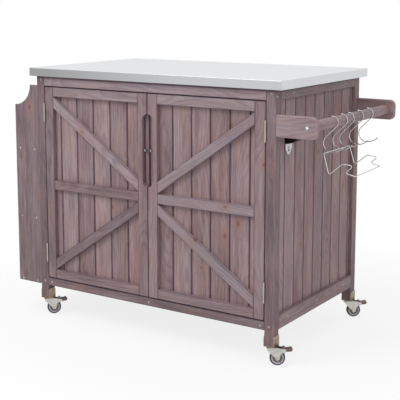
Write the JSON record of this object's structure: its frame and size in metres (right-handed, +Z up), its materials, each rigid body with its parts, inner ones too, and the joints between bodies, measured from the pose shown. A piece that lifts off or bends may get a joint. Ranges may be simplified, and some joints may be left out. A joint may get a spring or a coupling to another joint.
{
  "type": "grill cart with storage",
  "caption": "Slatted wooden storage cart on braked casters with a steel-clad worktop, two braced doors, a spice rack, a towel bar with S-hooks and a bottle opener",
  "frame": {"origin": "on the floor under the middle of the whole cart's box, spice rack, towel bar and brake pedals included", "axes": "+X to the right seen from the door side, +Y to the back, +Z up"},
  "size_m": [1.3092, 0.6638, 0.92],
  "materials": {
    "frame_wood": "stained and sealed fir, satin",
    "board_wood": "stained and sealed fir boards, satin",
    "inside_wood": "stained fir, matt",
    "core_board": "plain board under the steel",
    "worktop_steel": "brushed stainless sheet",
    "wire_steel": "bright plated wire",
    "hinge_steel": "plated steel",
    "zinc_steel": "zinc plated pressed steel",
    "screw_steel": "plated screws",
    "opener_steel": "plated steel",
    "knob_metal": "black lacquered metal",
    "catch_plastic": "moulded plastic",
    "tyre_rubber": "grey-black rubber",
    "hub_plastic": "moulded hub with a white ring",
    "pedal_plastic": "moulded plastic"
  },
  "bodies": {
    "frame": {"leg_front_left": "frame_wood", "leg_rear_left": "frame_wood", "leg_front_right": "frame_wood", "leg_rear_right": "frame_wood", "front_rails": "frame_wood", "left_side_rails": "frame_wood", "left_slats": "board_wood", "right_side_rails": "frame_wood", "right_slats": "board_wood", "rear_rails": "frame_wood", "rear_slats": "board_wood", "floor_bearers": "inside_wood", "floor_boards": "inside_wood", "shelf_boards": "inside_wood", "shelf_cleats": "inside_wood", "worktop_tray": "worktop_steel", "worktop_core": "core_board", "frame_hinges": "hinge_steel", "magnet_catches": "catch_plastic", "spice_rack_ends": "frame_wood", "spice_shelves": "frame_wood", "spice_guard_rails": "frame_wood", "towel_arm_front": "frame_wood", "towel_arm_rear": "frame_wood", "towel_bar": "frame_wood", "bottle_opener": "opener_steel", "caster_plates": "zinc_steel", "screws": "screw_steel"},
    "left_door": {"left_door_frame": "frame_wood", "left_door_braces": "frame_wood", "left_door_planks": "board_wood", "left_door_knob": "knob_metal", "left_door_hardware": "hinge_steel"},
    "right_door": {"right_door_frame": "frame_wood", "right_door_braces": "frame_wood", "right_door_planks": "board_wood", "right_door_knob": "knob_metal", "right_door_hardware": "hinge_steel"},
    "s_hook_1_body": {"s_hook_1": "wire_steel"},
    "s_hook_2_body": {"s_hook_2": "wire_steel"},
    "s_hook_3_body": {"s_hook_3": "wire_steel"},
    "s_hook_4_body": {"s_hook_4": "wire_steel"},
    "s_hook_5_body": {"s_hook_5": "wire_steel"},
    "wire_rack_body": {"wire_rack": "wire_steel"},
    "swivel_front_left": {"fork_front_left": "zinc_steel"},
    "wheel_front_left": {"hub_front_left": "hub_plastic", "tyre_front_left": "tyre_rubber"},
    "brake_front_left": {"pedal_front_left": "pedal_plastic"},
    "swivel_front_right": {"fork_front_right": "zinc_steel"},
    "wheel_front_right": {"hub_front_right": "hub_plastic", "tyre_front_right": "tyre_rubber"},
    "brake_front_right": {"pedal_front_right": "pedal_plastic"},
    "swivel_rear_left": {"fork_rear_left": "zinc_steel"},
    "wheel_rear_left": {"hub_rear_left": "hub_plastic", "tyre_rear_left": "tyre_rubber"},
    "brake_rear_left": {"pedal_rear_left": "pedal_plastic"},
    "swivel_rear_right": {"fork_rear_right": "zinc_steel"},
    "wheel_rear_right": {"hub_rear_right": "hub_plastic", "tyre_rear_right": "tyre_rubber"},
    "brake_rear_right": {"pedal_rear_right": "pedal_plastic"}
  },
  "joints": [
    {"name": "left_door_hinge", "type": "hinge", "parent": "frame", "child": "left_door", "pos_m": [-0.5091, -0.32313, 0.501], "axis": [0, 0, -1], "range_deg": [0, 115]},
    {"name": "right_door_hinge", "type": "hinge", "parent": "frame", "child": "right_door", "pos_m": [0.4039, -0.32313, 0.501], "axis": [0, 0, 1], "range_deg": [0, 115]},
    {"name": "s_hook_1_swing", "type": "hinge", "parent": "frame", "child": "s_hook_1_body", "pos_m": [0.5454, -0.14193, 0.779], "axis": [0, 1, 0], "range_deg": [-15, 15]},
    {"name": "s_hook_2_swing", "type": "hinge", "parent": "frame", "child": "s_hook_2_body", "pos_m": [0.5454, -0.07293, 0.779], "axis": [0, 1, 0], "range_deg": [-15, 15]},
    {"name": "s_hook_3_swing", "type": "hinge", "parent": "frame", "child": "s_hook_3_body", "pos_m": [0.5454, -0.02093, 0.779], "axis": [0, 1, 0], "range_deg": [-15, 15]},
    {"name": "s_hook_4_swing", "type": "hinge", "parent": "frame", "child": "s_hook_4_body", "pos_m": [0.5454, 0.05407, 0.779], "axis": [0, 1, 0], "range_deg": [-25, 25]},
    {"name": "s_hook_5_swing", "type": "hinge", "parent": "frame", "child": "s_hook_5_body", "pos_m": [0.5454, 0.13207, 0.779], "axis": [0, 1, 0], "range_deg": [-25, 25]},
    {"name": "wire_rack_swing", "type": "hinge", "parent": "s_hook_2_body", "child": "wire_rack_body", "pos_m": [0.5431, -0.09993, 0.6863], "axis": [0, 1, 0], "range_deg": [-15, 35]},
    {"name": "swivel_turn_front_left", "type": "hinge", "parent": "frame", "child": "swivel_front_left", "pos_m": [-0.5276, -0.30293, 0.066], "axis": [0, 0, 1], "continuous": true},
    {"name": "wheel_turn_front_left", "type": "hinge", "parent": "swivel_front_left", "child": "wheel_front_left", "pos_m": [-0.51422, -0.28807, 0.0255], "axis": [-0.7431, 0.6691, 0], "continuous": true},
    {"name": "brake_press_front_left", "type": "hinge", "parent": "swivel_front_left", "child": "brake_front_left", "pos_m": [-0.49816, -0.27023, 0.051], "axis": [-0.7431, 0.6691, 0], "range_deg": [0, 25]},
    {"name": "swivel_turn_front_right", "type": "hinge", "parent": "frame", "child": "swivel_front_right", "pos_m": [0.4224, -0.30293, 0.066], "axis": [0, 0, 1], "continuous": true},
    {"name": "wheel_turn_front_right", "type": "hinge", "parent": "swivel_front_right", "child": "wheel_front_right", "pos_m": [0.43917, -0.29204, 0.0255], "axis": [-0.5446, 0.8387, 0], "continuous": true},
    {"name": "brake_press_front_right", "type": "hinge", "parent": "swivel_front_right", "child": "brake_front_right", "pos_m": [0.4593, -0.27897, 0.051], "axis": [-0.5446, 0.8387, 0], "range_deg": [0, 25]},
    {"name": "swivel_turn_rear_left", "type": "hinge", "parent": "frame", "child": "swivel_rear_left", "pos_m": [-0.5276, 0.27907, 0.066], "axis": [0, 0, 1], "continuous": true},
    {"name": "wheel_turn_rear_left", "type": "hinge", "parent": "swivel_rear_left", "child": "wheel_rear_left", "pos_m": [-0.51274, 0.29245, 0.0255], "axis": [-0.6691, 0.7431, 0], "continuous": true},
    {"name": "brake_press_rear_left", "type": "hinge", "parent": "swivel_rear_left", "child": "brake_rear_left", "pos_m": [-0.4949, 0.30851, 0.051], "axis": [-0.6691, 0.7431, 0], "range_deg": [0, 25]},
    {"name": "swivel_turn_rear_right", "type": "hinge", "parent": "frame", "child": "swivel_rear_right", "pos_m": [0.4224, 0.27907, 0.066], "axis": [0, 0, 1], "continuous": true},
    {"name": "wheel_turn_rear_right", "type": "hinge", "parent": "swivel_rear_right", "child": "wheel_rear_right", "pos_m": [0.43816, 0.29138, 0.0255], "axis": [-0.6157, 0.788, 0], "continuous": true},
    {"name": "brake_press_rear_right", "type": "hinge", "parent": "swivel_rear_right", "child": "brake_rear_right", "pos_m": [0.45707, 0.30616, 0.051], "axis": [-0.6157, 0.788, 0], "range_deg": [0, 25]}
  ],
  "couplings": [
    {"joint": "s_hook_1_swing", "follows": "s_hook_2_swing", "ratio": 1},
    {"joint": "s_hook_3_swing", "follows": "s_hook_2_swing", "ratio": 1}
  ]
}
